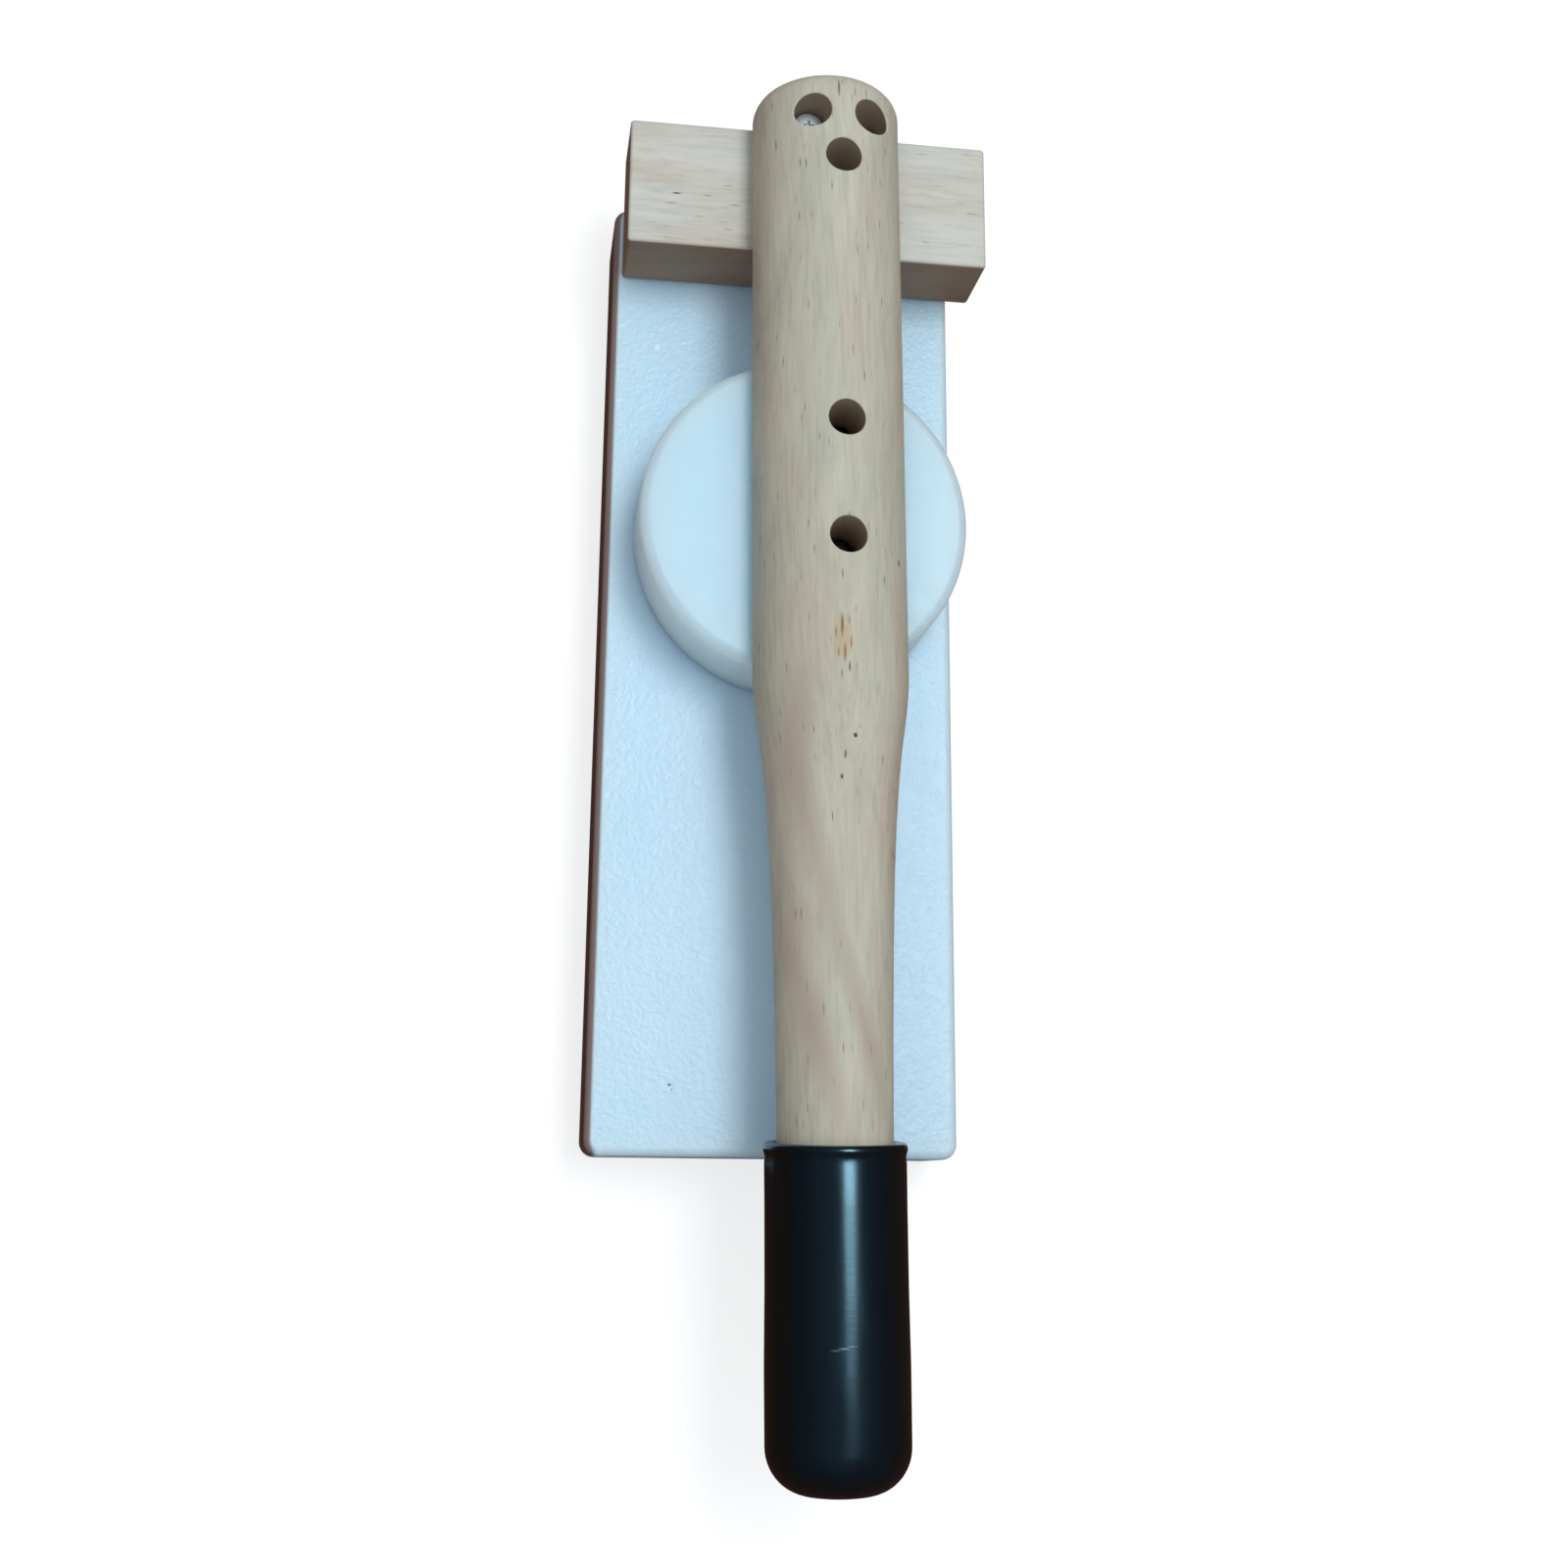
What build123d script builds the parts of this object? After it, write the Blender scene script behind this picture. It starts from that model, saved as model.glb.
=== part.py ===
from build123d import *
import os
from math import cos, radians, sin

os.makedirs("parts", exist_ok=True)

# A lever press for dumpling wrappers. A thick plastic board carries a wooden block at its
# rear end. A wooden handle is hinged to the block and pushes a plastic disc onto the board.
# Origin: centre of the board's underside. +X right, +Y towards the hinge, +Z up.
# All sizes are millimetres. The press is drawn closed.

# Board
board_width = 110.0
board_length = 300.0
board_thickness = 30.0
board_corner_round = 4.5
board_top_round = 2.5
board_bottom_round = 1.0

# Wooden block behind the disc, standing out behind the board and to its right
block_width = 114.0
block_depth = 42.0
block_centre_x = 4.8
block_overhang = 17.0
block_round = 1.2

# Disc
disc_radius = 50.0
disc_thickness = 28.0
disc_top_round = 3.0
disc_bottom_round = 1.2
disc_centre_x = 4.0
disc_centre_y = 37.5
disc_clearance = 0.4

# Hinge
leaf_thickness = 1.5
leaf_clearance = 0.4
barrel_length = 36.0
middle_knuckle_length = 17.8
knuckle_gap = 0.3
pin_radius = 1.55
pin_running_clearance = 0.05
pin_head_radius = 2.4
pin_head_height = 1.0
upper_leaf_reach = 34.5
upper_leaf_rear_gap = 3.6
lower_leaf_drop = 23.0
lower_leaf_gap_to_knuckle = 0.7
leaf_corner_round = 3.0

# Handle, measured along its own line from the hinge pin
handle_axis_height = 63.0
handle_x_at_pin = 8.5
handle_turn = 0.72
handle_radius = 22.9
handle_tail = 3.3
handle_tail_round = 7.5
shoulder_start = 183.0
upper_neck = (204.0, 20.8)
middle_neck = (227.0, 18.6)
lower_neck = (250.0, 17.5)
neck_taper = 0.014
flat_end = 186.0
flat_run_out = 60.0
knuckle_rebate = 0.6
knuckle_rebate_reach = 4.0

# Grip sleeve
sleeve_start = 318.4
sleeve_bore_radius = 16.1
sleeve_radius = 19.6
sleeve_lip_round = 1.0
sleeve_end_thickness = 3.0
sleeve_end_round = 12.0
wood_end_round = 8.0
sleeve_length = 88.0

# Fixings on the handle: distance from the pin, distance right of the handle's centre line
hole_line_shift = 1.9
front_bolt_distance = 26.4
rear_bolt_distance = 11.4
rear_bolt_spacing = 18.3
rear_disc_screw_distance = 111.4
front_disc_screw_distance = 147.3
counterbore_radius = 5.5
counterbore_floor_height = 64.0
counterbore_rim_round = 0.4
left_bolt_lift = 7.0
handle_hole_radius = 2.75
leaf_hole_radius = 2.7
bolt_radius = 2.5
bolt_head_radius = 4.75
bolt_head_height = 3.4
bolt_head_round = 1.3
bolt_end_below_nut = 0.9
washer_radius = 5.0
washer_hole_radius = 2.65
washer_thickness = 1.0
nut_across_flats = 8.0
nut_height = 4.0
nut_bevel = 0.5
disc_screw_depth = 21.0
disc_screw_point = 4.0
cross_length = 4.4
cross_width = 1.1
cross_depth = 1.7

# Pocket in the block's top that takes the nuts
pocket_width = 32.0
pocket_depth = 6.0
pocket_front_distance = 33.8
pocket_corner_round = 4.0

# Screws that hold the lower leaf
leaf_screw_radius = 1.75
leaf_screw_head_radius = 3.6
leaf_screw_head_height = 2.2
leaf_screw_head_round = 0.9
leaf_screw_length = 16.0
leaf_screw_point = 3.0
leaf_screw_hole_clearance = 0.2
upper_leaf_screw_spread = 13.0
upper_leaf_screw_height = 43.5
lower_leaf_screw_spread = 6.0
lower_leaf_screw_height = 36.5

# Screws from beneath the board into the block
block_screw_radius = 2.25
block_screw_head_radius = 4.6
block_screw_head_height = 3.0
block_screw_length = 38.0
block_screw_point = 4.0
block_screw_seat_height = 8.0
block_screw_bore_radius = 5.6
block_screw_hole_radius = 2.6
block_screw_count = 4
block_screw_spacing = 29.0
block_screw_centre_x = 2.0

# Heights and places that follow from the sizes above
block_rear_y = board_length / 2 + block_overhang
disc_bottom = board_thickness + disc_clearance
disc_top = disc_bottom + disc_thickness
flat_height = disc_top
leaf_underside = flat_height - leaf_thickness
block_top = leaf_underside - leaf_clearance
block_height = block_top - board_thickness
knuckle_radius = pin_radius + pin_running_clearance + leaf_thickness
pin_y = block_rear_y + knuckle_radius
pin_height = flat_height - knuckle_radius
hinge_x = handle_x_at_pin + hole_line_shift
handle_end = sleeve_start + sleeve_length - sleeve_end_thickness
rear_bolt_shift = rear_bolt_spacing / 2
nut_top = leaf_underside - washer_thickness
nut_bottom = nut_top - nut_height

# Each place on the handle: distance along, distance across, height of the counterbore's floor.
# The left rear counterbore is the shallow one.
bolt_places = [
    (front_bolt_distance, hole_line_shift, counterbore_floor_height),
    (
        rear_bolt_distance,
        hole_line_shift - rear_bolt_shift,
        counterbore_floor_height + left_bolt_lift,
    ),
    (rear_bolt_distance, hole_line_shift + rear_bolt_shift, counterbore_floor_height),
]
disc_screw_places = [
    (rear_disc_screw_distance, hole_line_shift, counterbore_floor_height),
    (front_disc_screw_distance, hole_line_shift, counterbore_floor_height),
]
bolt_spots = [(along, across) for along, across, floor in bolt_places]
leaf_screw_spots = [
    (hinge_x - upper_leaf_screw_spread, upper_leaf_screw_height),
    (hinge_x + upper_leaf_screw_spread, upper_leaf_screw_height),
    (hinge_x - lower_leaf_screw_spread, lower_leaf_screw_height),
    (hinge_x + lower_leaf_screw_spread, lower_leaf_screw_height),
]
block_screw_y = (board_length / 2 + block_rear_y - block_depth) / 2

# The handle runs a little to the right as it comes forward.
# handle_deck lies flat: its first coordinate runs forward from the pin, its second to the right.
# handle_side stands upright along the handle's centre line.
turn = radians(handle_turn)
forward = (sin(turn), -cos(turn), 0)
handle_deck = Plane(origin=(handle_x_at_pin, pin_y, 0), x_dir=forward, z_dir=(0, 0, 1))
handle_side = Plane(
    origin=(handle_x_at_pin, pin_y, handle_axis_height),
    x_dir=forward,
    z_dir=(-cos(turn), -sin(turn), 0),
)
handle_axis = Axis(handle_side.origin, handle_side.x_dir)
upright = (Align.CENTER, Align.CENTER, Align.MIN)
hanging = (Align.CENTER, Align.CENTER, Align.MAX)


# Board, with bores beneath for the screws that go up into the block
with BuildPart() as base_board:
    with BuildSketch(Plane.XY):
        RectangleRounded(board_width, board_length, board_corner_round)
    extrude(amount=board_thickness)
    fillet(base_board.faces().sort_by(Axis.Z)[-1].edges(), radius=board_top_round)
    fillet(base_board.faces().sort_by(Axis.Z)[0].edges(), radius=board_bottom_round)
    with Locations((block_screw_centre_x, block_screw_y, 0)):
        with GridLocations(block_screw_spacing, 1, block_screw_count, 1):
            Cylinder(
                block_screw_bore_radius, block_screw_seat_height, align=upright, mode=Mode.SUBTRACT
            )
            Cylinder(
                block_screw_hole_radius, board_thickness, align=upright, mode=Mode.SUBTRACT
            )
base_board.part.label = "base_board"
export_step(base_board.part, "parts/base_board.step")


# Wooden block, with the nut pocket open at the rear and the pilot holes for its screws
with BuildPart() as hinge_block:
    with BuildSketch(Plane.XY.offset(board_thickness)):
        with Locations((block_centre_x, block_rear_y - block_depth / 2)):
            Rectangle(block_width, block_depth)
    extrude(amount=block_height)
    fillet(hinge_block.edges(), radius=block_round)
    with BuildSketch(Plane.XY.offset(block_top)):
        with Locations((hinge_x, pin_y - pocket_front_distance)):
            RectangleRounded(
                pocket_width,
                2 * pocket_front_distance,
                pocket_corner_round,
                align=(Align.CENTER, Align.MIN),
            )
    extrude(amount=-pocket_depth, mode=Mode.SUBTRACT)
    with Locations((block_screw_centre_x, block_screw_y, board_thickness)):
        with GridLocations(block_screw_spacing, 1, block_screw_count, 1):
            Cylinder(
                block_screw_radius,
                block_screw_seat_height + block_screw_length - board_thickness,
                align=upright,
                mode=Mode.SUBTRACT,
            )
    with BuildSketch(Plane.XZ.offset(-block_rear_y)):
        with Locations(*leaf_screw_spots):
            Circle(leaf_screw_radius)
    extrude(amount=leaf_screw_length - leaf_thickness, mode=Mode.SUBTRACT)
hinge_block.part.label = "hinge_block"
export_step(hinge_block.part, "parts/hinge_block.step")


# Four screws up through the board into the block
with BuildPart() as block_screws:
    with Locations((block_screw_centre_x, block_screw_y, block_screw_seat_height)):
        with GridLocations(block_screw_spacing, 1, block_screw_count, 1):
            Cylinder(block_screw_head_radius, block_screw_head_height, align=hanging)
            Cylinder(block_screw_radius, block_screw_length - block_screw_point, align=upright)
    heads = block_screws.faces().filter_by(Axis.Z).group_by(Axis.Z)[0]
    fillet(heads.edges(), radius=block_screw_head_height / 2)
    point_start = block_screw_seat_height + block_screw_length - block_screw_point
    with Locations((block_screw_centre_x, block_screw_y, point_start)):
        with GridLocations(block_screw_spacing, 1, block_screw_count, 1):
            Cone(block_screw_radius, 0, block_screw_point, align=upright)
    head_face = block_screw_seat_height - block_screw_head_height
    with BuildSketch(Plane.XY.offset(head_face)):
        with Locations((block_screw_centre_x, block_screw_y)):
            with GridLocations(block_screw_spacing, 1, block_screw_count, 1):
                Rectangle(cross_length, cross_width)
                Rectangle(cross_width, cross_length)
    extrude(amount=cross_depth, mode=Mode.SUBTRACT)
block_screws.part.label = "block_screws"
export_step(block_screws.part, "parts/block_screws.step")


# Lower leaf: hangs behind the block, with a knuckle at each end of the barrel
end_knuckle_length = (barrel_length - middle_knuckle_length) / 2 - knuckle_gap
with BuildPart() as lower_hinge_leaf:
    with BuildSketch(Plane.XZ.offset(-block_rear_y)):
        with Locations((hinge_x, pin_height)):
            Rectangle(barrel_length, lower_leaf_drop, align=(Align.CENTER, Align.MAX))
            Rectangle(
                middle_knuckle_length + 2 * knuckle_gap,
                2 * (knuckle_radius + lower_leaf_gap_to_knuckle),
                mode=Mode.SUBTRACT,
            )
    extrude(amount=-leaf_thickness)
    foot_edges = lower_hinge_leaf.edges().filter_by(Axis.Y).group_by(Axis.Z)[0]
    fillet(foot_edges, radius=leaf_corner_round)
    for knuckle_start in (hinge_x - barrel_length / 2, hinge_x + barrel_length / 2 - end_knuckle_length):
        with BuildSketch(Plane.YZ.offset(knuckle_start)):
            with Locations((pin_y, pin_height)):
                Circle(knuckle_radius)
        extrude(amount=end_knuckle_length)
    with BuildSketch(Plane.YZ.offset(hinge_x - barrel_length / 2)):
        with Locations((pin_y, pin_height)):
            Circle(pin_radius)
    extrude(amount=barrel_length, mode=Mode.SUBTRACT)
    with BuildSketch(Plane.XZ.offset(-block_rear_y)):
        with Locations(*leaf_screw_spots):
            Circle(leaf_screw_radius + leaf_screw_hole_clearance)
    extrude(amount=-leaf_thickness, mode=Mode.SUBTRACT)
lower_hinge_leaf.part.label = "lower_hinge_leaf"
export_step(lower_hinge_leaf.part, "parts/lower_hinge_leaf.step")


# Four round-headed screws that hold the lower leaf
leaf_outer_face = Plane.XZ.offset(-block_rear_y - leaf_thickness)
with BuildPart(leaf_outer_face) as lower_leaf_screws:
    with Locations(*leaf_screw_spots):
        Cylinder(leaf_screw_head_radius, leaf_screw_head_height, align=hanging)
        Cylinder(leaf_screw_radius, leaf_screw_length - leaf_screw_point, align=upright)
    heads = lower_leaf_screws.faces().filter_by(Axis.Y).group_by(Axis.Y)[-1]
    fillet(heads.edges(), radius=leaf_screw_head_round)
    with Locations(*[(x, z, leaf_screw_length - leaf_screw_point) for x, z in leaf_screw_spots]):
        Cone(leaf_screw_radius, 0, leaf_screw_point, align=upright)
    with BuildSketch(leaf_outer_face.offset(-leaf_screw_head_height)):
        with Locations(*leaf_screw_spots):
            Rectangle(cross_length, cross_width)
            Rectangle(cross_width, cross_length)
    extrude(amount=cross_depth, mode=Mode.SUBTRACT)
lower_leaf_screws.part.label = "lower_leaf_screws"
export_step(lower_leaf_screws.part, "parts/lower_leaf_screws.step")


# Hinge pin: held in the end knuckles, with both ends spread into heads
with BuildPart() as hinge_pin:
    with BuildSketch(Plane.YZ.offset(hinge_x - barrel_length / 2)):
        with Locations((pin_y, pin_height)):
            Circle(pin_radius)
    extrude(amount=barrel_length)
    with BuildSketch(Plane.YZ.offset(hinge_x - barrel_length / 2 - pin_head_height)):
        with Locations((pin_y, pin_height)):
            Circle(pin_head_radius)
    extrude(amount=pin_head_height)
    with BuildSketch(Plane.YZ.offset(hinge_x + barrel_length / 2)):
        with Locations((pin_y, pin_height)):
            Circle(pin_head_radius)
    extrude(amount=pin_head_height)
    outer_ends = hinge_pin.faces().filter_by(Axis.X).sort_by(Axis.X)
    fillet(outer_ends[0].edges() + outer_ends[-1].edges(), radius=pin_head_height * 0.7)
hinge_pin.part.label = "hinge_pin"
export_step(hinge_pin.part, "parts/hinge_pin.step")


# Upper leaf: lies under the handle's flat, with the middle knuckle
with BuildPart() as upper_hinge_leaf:
    with BuildSketch(Plane.XY.offset(leaf_underside)):
        with Locations((hinge_x, pin_y - upper_leaf_reach)):
            Rectangle(
                barrel_length,
                upper_leaf_reach - upper_leaf_rear_gap,
                align=(Align.CENTER, Align.MIN),
            )
            Rectangle(
                middle_knuckle_length, upper_leaf_reach, align=(Align.CENTER, Align.MIN)
            )
    extrude(amount=leaf_thickness)
    nose_edges = upper_hinge_leaf.edges().filter_by(Axis.Z).group_by(Axis.Y)[0]
    fillet(nose_edges, radius=leaf_corner_round)
    with BuildSketch(Plane.YZ.offset(hinge_x - middle_knuckle_length / 2)):
        with Locations((pin_y, pin_height)):
            Circle(knuckle_radius)
    extrude(amount=middle_knuckle_length)
    with BuildSketch(Plane.YZ.offset(hinge_x - middle_knuckle_length / 2)):
        with Locations((pin_y, pin_height)):
            Circle(pin_radius + pin_running_clearance)
    extrude(amount=middle_knuckle_length, mode=Mode.SUBTRACT)
    with BuildSketch(handle_deck.offset(leaf_underside)):
        with Locations(*bolt_spots):
            Circle(leaf_hole_radius)
    extrude(amount=leaf_thickness, mode=Mode.SUBTRACT)
upper_hinge_leaf.part.label = "upper_hinge_leaf"
export_step(upper_hinge_leaf.part, "parts/upper_hinge_leaf.step")


# Handle: turned to shape, planed flat beneath from its rear end to just past the disc
tail_round_centre = (-handle_tail + handle_tail_round, handle_radius - handle_tail_round)
wood_end_centre = (handle_end - wood_end_round, sleeve_bore_radius - wood_end_round)
flat_level = flat_height - handle_axis_height
cut_depth = flat_level - flat_run_out
with BuildPart(handle_deck) as handle:
    with BuildSketch(handle_side):
        with BuildLine():
            Line((handle_end, 0), (-handle_tail, 0))
            Line((-handle_tail, 0), (-handle_tail, tail_round_centre[1]))
            CenterArc(tail_round_centre, handle_tail_round, 90, 90)
            Line((tail_round_centre[0], handle_radius), (shoulder_start, handle_radius))
            Spline(
                (shoulder_start, handle_radius),
                upper_neck,
                middle_neck,
                lower_neck,
                (sleeve_start, sleeve_bore_radius),
                tangents=[(1, 0), (1, -neck_taper)],
            )
            Line((sleeve_start, sleeve_bore_radius), (wood_end_centre[0], sleeve_bore_radius))
            CenterArc(wood_end_centre, wood_end_round, 0, 90)
            Line((handle_end, wood_end_centre[1]), (handle_end, 0))
        make_face()
    revolve(axis=handle_axis)
    with BuildSketch(handle_side):
        with BuildLine():
            Polyline(
                (flat_end, cut_depth),
                (-handle_radius, cut_depth),
                (-handle_radius, flat_level + knuckle_rebate),
                (knuckle_rebate_reach, flat_level + knuckle_rebate),
                (knuckle_rebate_reach, flat_level),
                (flat_end, flat_level),
            )
            CenterArc((flat_end, cut_depth), flat_run_out, 0, 90)
            Line((flat_end, cut_depth), (flat_end + flat_run_out, cut_depth))
        make_face()
    extrude(amount=2 * handle_radius, both=True, mode=Mode.SUBTRACT)
    crest = handle_axis_height + handle_radius
    for along, across, floor in bolt_places + disc_screw_places:
        with Locations((along, across, crest)):
            CounterBoreHole(
                radius=handle_hole_radius,
                counter_bore_radius=counterbore_radius,
                counter_bore_depth=crest - floor,
                depth=crest - flat_height + leaf_thickness,
            )
    upper_edges = handle.edges().filter_by_position(Axis.Z, crest - counterbore_radius, crest)
    rims = upper_edges.filter_by(GeomType.BSPLINE)
    fillet(rims, radius=counterbore_rim_round)
handle.part.label = "handle"
export_step(handle.part, "parts/handle.step")


# Disc, with pilot holes for its two screws
with BuildPart(handle_deck) as press_disc:
    with BuildSketch(Plane.XY.offset(disc_bottom)):
        with Locations((disc_centre_x, disc_centre_y)):
            Circle(disc_radius)
    extrude(amount=disc_thickness)
    fillet(press_disc.faces().sort_by(Axis.Z)[-1].edges(), radius=disc_top_round)
    fillet(press_disc.faces().sort_by(Axis.Z)[0].edges(), radius=disc_bottom_round)
    with Locations(*[(along, across, disc_top) for along, across, floor in disc_screw_places]):
        Cylinder(bolt_radius, disc_screw_depth, align=hanging, mode=Mode.SUBTRACT)
press_disc.part.label = "press_disc"
export_step(press_disc.part, "parts/press_disc.step")


# Grip sleeve: a soft closed-end tube pushed onto the handle
sleeve_end = sleeve_start + sleeve_length
with BuildPart() as handle_grip:
    with BuildSketch(handle_side):
        with BuildLine():
            Line((handle_end, 0), (handle_end, wood_end_centre[1]))
            CenterArc(wood_end_centre, wood_end_round, 0, 90)
            Line((wood_end_centre[0], sleeve_bore_radius), (sleeve_start, sleeve_bore_radius))
            Line((sleeve_start, sleeve_bore_radius), (sleeve_start, sleeve_radius - sleeve_lip_round))
            CenterArc(
                (sleeve_start + sleeve_lip_round, sleeve_radius - sleeve_lip_round),
                sleeve_lip_round,
                90,
                90,
            )
            Line(
                (sleeve_start + sleeve_lip_round, sleeve_radius),
                (sleeve_end - sleeve_end_round, sleeve_radius),
            )
            CenterArc(
                (sleeve_end - sleeve_end_round, sleeve_radius - sleeve_end_round),
                sleeve_end_round,
                0,
                90,
            )
            Line((sleeve_end, sleeve_radius - sleeve_end_round), (sleeve_end, 0))
            Line((sleeve_end, 0), (handle_end, 0))
        make_face()
    revolve(axis=handle_axis)
handle_grip.part.label = "handle_grip"
export_step(handle_grip.part, "parts/handle_grip.step")


def ring_group(places, name):
    # Flat washers, each with its underside at the height given for its place
    with BuildPart(handle_deck) as rings:
        with Locations(*places):
            Cylinder(washer_radius, washer_thickness, align=upright)
            Cylinder(washer_hole_radius, washer_thickness, align=upright, mode=Mode.SUBTRACT)
    rings.part.label = name
    export_step(rings.part, f"parts/{name}.step")


ring_group(bolt_places, "bolt_head_washers")
ring_group([(along, across, nut_top) for along, across in bolt_spots], "nut_washers")
ring_group(disc_screw_places, "disc_screw_washers")


def headed_group(places, shank_end, point, name):
    # Round-headed cross-slot screws, each seated on the washer in its counterbore
    with BuildPart(handle_deck) as group:
        for along, across, floor in places:
            seat = floor + washer_thickness
            with Locations((along, across, seat)):
                Cylinder(bolt_head_radius, bolt_head_height, align=upright)
                Cylinder(bolt_radius, seat - shank_end - point, align=hanging)
        crowns = group.faces().filter_by(Axis.Z).filter_by(lambda face: face.normal_at().Z > 0)
        fillet(crowns.edges(), radius=bolt_head_round)
        for along, across, floor in places:
            if point > 0:
                with Locations((along, across, shank_end)):
                    Cone(0, bolt_radius, point, align=upright)
            with Locations((along, across, floor + washer_thickness + bolt_head_height)):
                Box(cross_length, cross_width, cross_depth, align=hanging, mode=Mode.SUBTRACT)
                Box(cross_width, cross_length, cross_depth, align=hanging, mode=Mode.SUBTRACT)
    group.part.label = name
    export_step(group.part, f"parts/{name}.step")


headed_group(bolt_places, nut_bottom - bolt_end_below_nut, 0, "hinge_bolts")
headed_group(disc_screw_places, disc_top - disc_screw_depth, disc_screw_point, "disc_screws")


# Nuts under the upper leaf
with BuildPart() as hinge_nuts:
    with BuildSketch(handle_deck.offset(nut_bottom)):
        with Locations(*bolt_spots):
            RegularPolygon(nut_across_flats / 2, 6, major_radius=False)
    extrude(amount=nut_height)
    lower_faces = hinge_nuts.faces().filter_by(Axis.Z).group_by(Axis.Z)[0]
    chamfer(lower_faces.edges(), length=nut_bevel)
    with BuildSketch(handle_deck.offset(nut_bottom)):
        with Locations(*bolt_spots):
            Circle(bolt_radius)
    extrude(amount=nut_height, mode=Mode.SUBTRACT)
hinge_nuts.part.label = "hinge_nuts"
export_step(hinge_nuts.part, "parts/hinge_nuts.step")
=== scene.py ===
import math

import bmesh
import bpy
from mathutils import Euler, Matrix, Vector


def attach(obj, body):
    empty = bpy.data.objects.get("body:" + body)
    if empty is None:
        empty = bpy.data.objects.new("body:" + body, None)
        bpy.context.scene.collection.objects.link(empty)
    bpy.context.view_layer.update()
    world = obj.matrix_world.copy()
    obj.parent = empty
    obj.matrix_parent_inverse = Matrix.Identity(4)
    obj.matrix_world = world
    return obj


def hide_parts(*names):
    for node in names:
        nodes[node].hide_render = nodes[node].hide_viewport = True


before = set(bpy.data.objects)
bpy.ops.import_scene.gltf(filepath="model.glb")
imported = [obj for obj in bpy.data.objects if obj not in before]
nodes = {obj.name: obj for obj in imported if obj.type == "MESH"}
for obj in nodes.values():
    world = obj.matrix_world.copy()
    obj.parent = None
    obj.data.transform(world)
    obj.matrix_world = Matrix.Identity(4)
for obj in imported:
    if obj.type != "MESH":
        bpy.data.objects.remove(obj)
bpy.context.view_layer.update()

# Sizes in millimetres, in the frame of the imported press: the centre of the board's underside is
# the origin, +Y runs towards the hinge and +Z up. They repeat the part's own sizes.
MM = 0.001
PIN_Y = 170.1
HINGE_X = 10.4
HANDLE_X_AT_PIN = 8.5
HANDLE_AXIS_HEIGHT = 63.0
HANDLE_TURN = math.radians(0.72)
HOLE_LINE_SHIFT = 1.9
REAR_BOLT_SHIFT = 9.15
FRONT_BOLT = 26.4
REAR_BOLT = 11.4
DISC_SCREWS = (111.4, 147.3)
COUNTERBORE_RADIUS = 5.5
BOLT_SEAT = 65.0
LEFT_BOLT_LIFT = 7.0
BOLT_END = 51.0
NUT_BOTTOM = 51.9
DISC_SCREW_END = 37.4
DISC_CENTRE = (4.0, 37.5)
SLEEVE_START = 318.4
SLEEVE_END = 406.4
SLEEVE_RADIUS = 19.6
SLEEVE_BORE = 16.1


def on_handle(forward, right, height):
    """Point in mm: forward of the hinge pin, right of the handle's line, and its height."""
    return Vector((
        HANDLE_X_AT_PIN + forward * math.sin(HANDLE_TURN) + right * math.cos(HANDLE_TURN),
        PIN_Y - forward * math.cos(HANDLE_TURN) + right * math.sin(HANDLE_TURN),
        height,
    ))


def linear(hex_colour):
    """sRGB hex to the linear colour that a shader takes."""
    parts = [int(hex_colour[i:i + 2], 16) / 255 for i in (1, 3, 5)]
    return tuple(c / 12.92 if c <= 0.04045 else ((c + 0.055) / 1.055) ** 2.4
                 for c in parts) + (1.0,)


def grey(value):
    """A linear grey, for levels, factors and masks."""
    return (value, value, value, 1.0)


def put(tree, kind, inputs=None, out=0, stops=None, curve=None, **settings):
    """Adds a node and gives one of its outputs back. inputs maps a socket's name or number to a
    value or to another node's output. stops are a colour ramp's, curve a float curve's points."""
    node = tree.nodes.new(kind)
    for key, value in settings.items():
        setattr(node, key, value)
    if stops:
        elements = node.color_ramp.elements
        while len(elements) < len(stops):
            elements.new(0.5)
        for element, (place, colour) in zip(elements, stops):
            element.position = place
            element.color = colour
    if curve:
        points = node.mapping.curves[0].points
        while len(points) < len(curve):
            points.new(0.5, 0.5)
        for point, place in zip(points, curve):
            point.location = place
            point.handle_type = "VECTOR"
        node.mapping.update()
    for key, value in (inputs or {}).items():
        socket = node.inputs[key]
        if isinstance(value, bpy.types.NodeSocket):
            tree.links.new(value, socket)
        else:
            socket.default_value = value
    return node.outputs[out] if len(node.outputs) else node


def new_material(name):
    """An empty node material, and its pattern space: Object coordinates turned to millimetres."""
    material = bpy.data.materials.new(name)
    material.use_nodes = True
    tree = material.node_tree
    tree.nodes.clear()
    place = put(tree, "ShaderNodeTexCoord", out="Object")
    millimetres = put(tree, "ShaderNodeVectorMath", {0: place, "Scale": 1000.0}, operation="SCALE")
    return material, tree, millimetres


def spot(tree, millimetres, centre, reach, edge=0.4, turn=0.0):
    """1 inside an ellipsoid round a placed mark, 0 outside, with a soft edge. turn is in degrees,
    seen from above."""
    moved = put(tree, "ShaderNodeVectorMath", {0: millimetres, 1: tuple(centre)},
                operation="SUBTRACT")
    turned = put(tree, "ShaderNodeMapping", {
        "Vector": moved, "Rotation": (0.0, 0.0, math.radians(turn))})
    local = put(tree, "ShaderNodeVectorMath", {0: turned, 1: tuple(1 / r for r in reach)},
                operation="MULTIPLY")
    away = put(tree, "ShaderNodeVectorMath", {0: local}, out="Value", operation="LENGTH")
    return put(tree, "ShaderNodeMapRange", {0: away, 1: edge, 2: 1.0, 3: 1.0, 4: 0.0})


# ---------- materials ----------

BORE_MIDDLE = 62.0
BORE_MARGIN = 0.12
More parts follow.
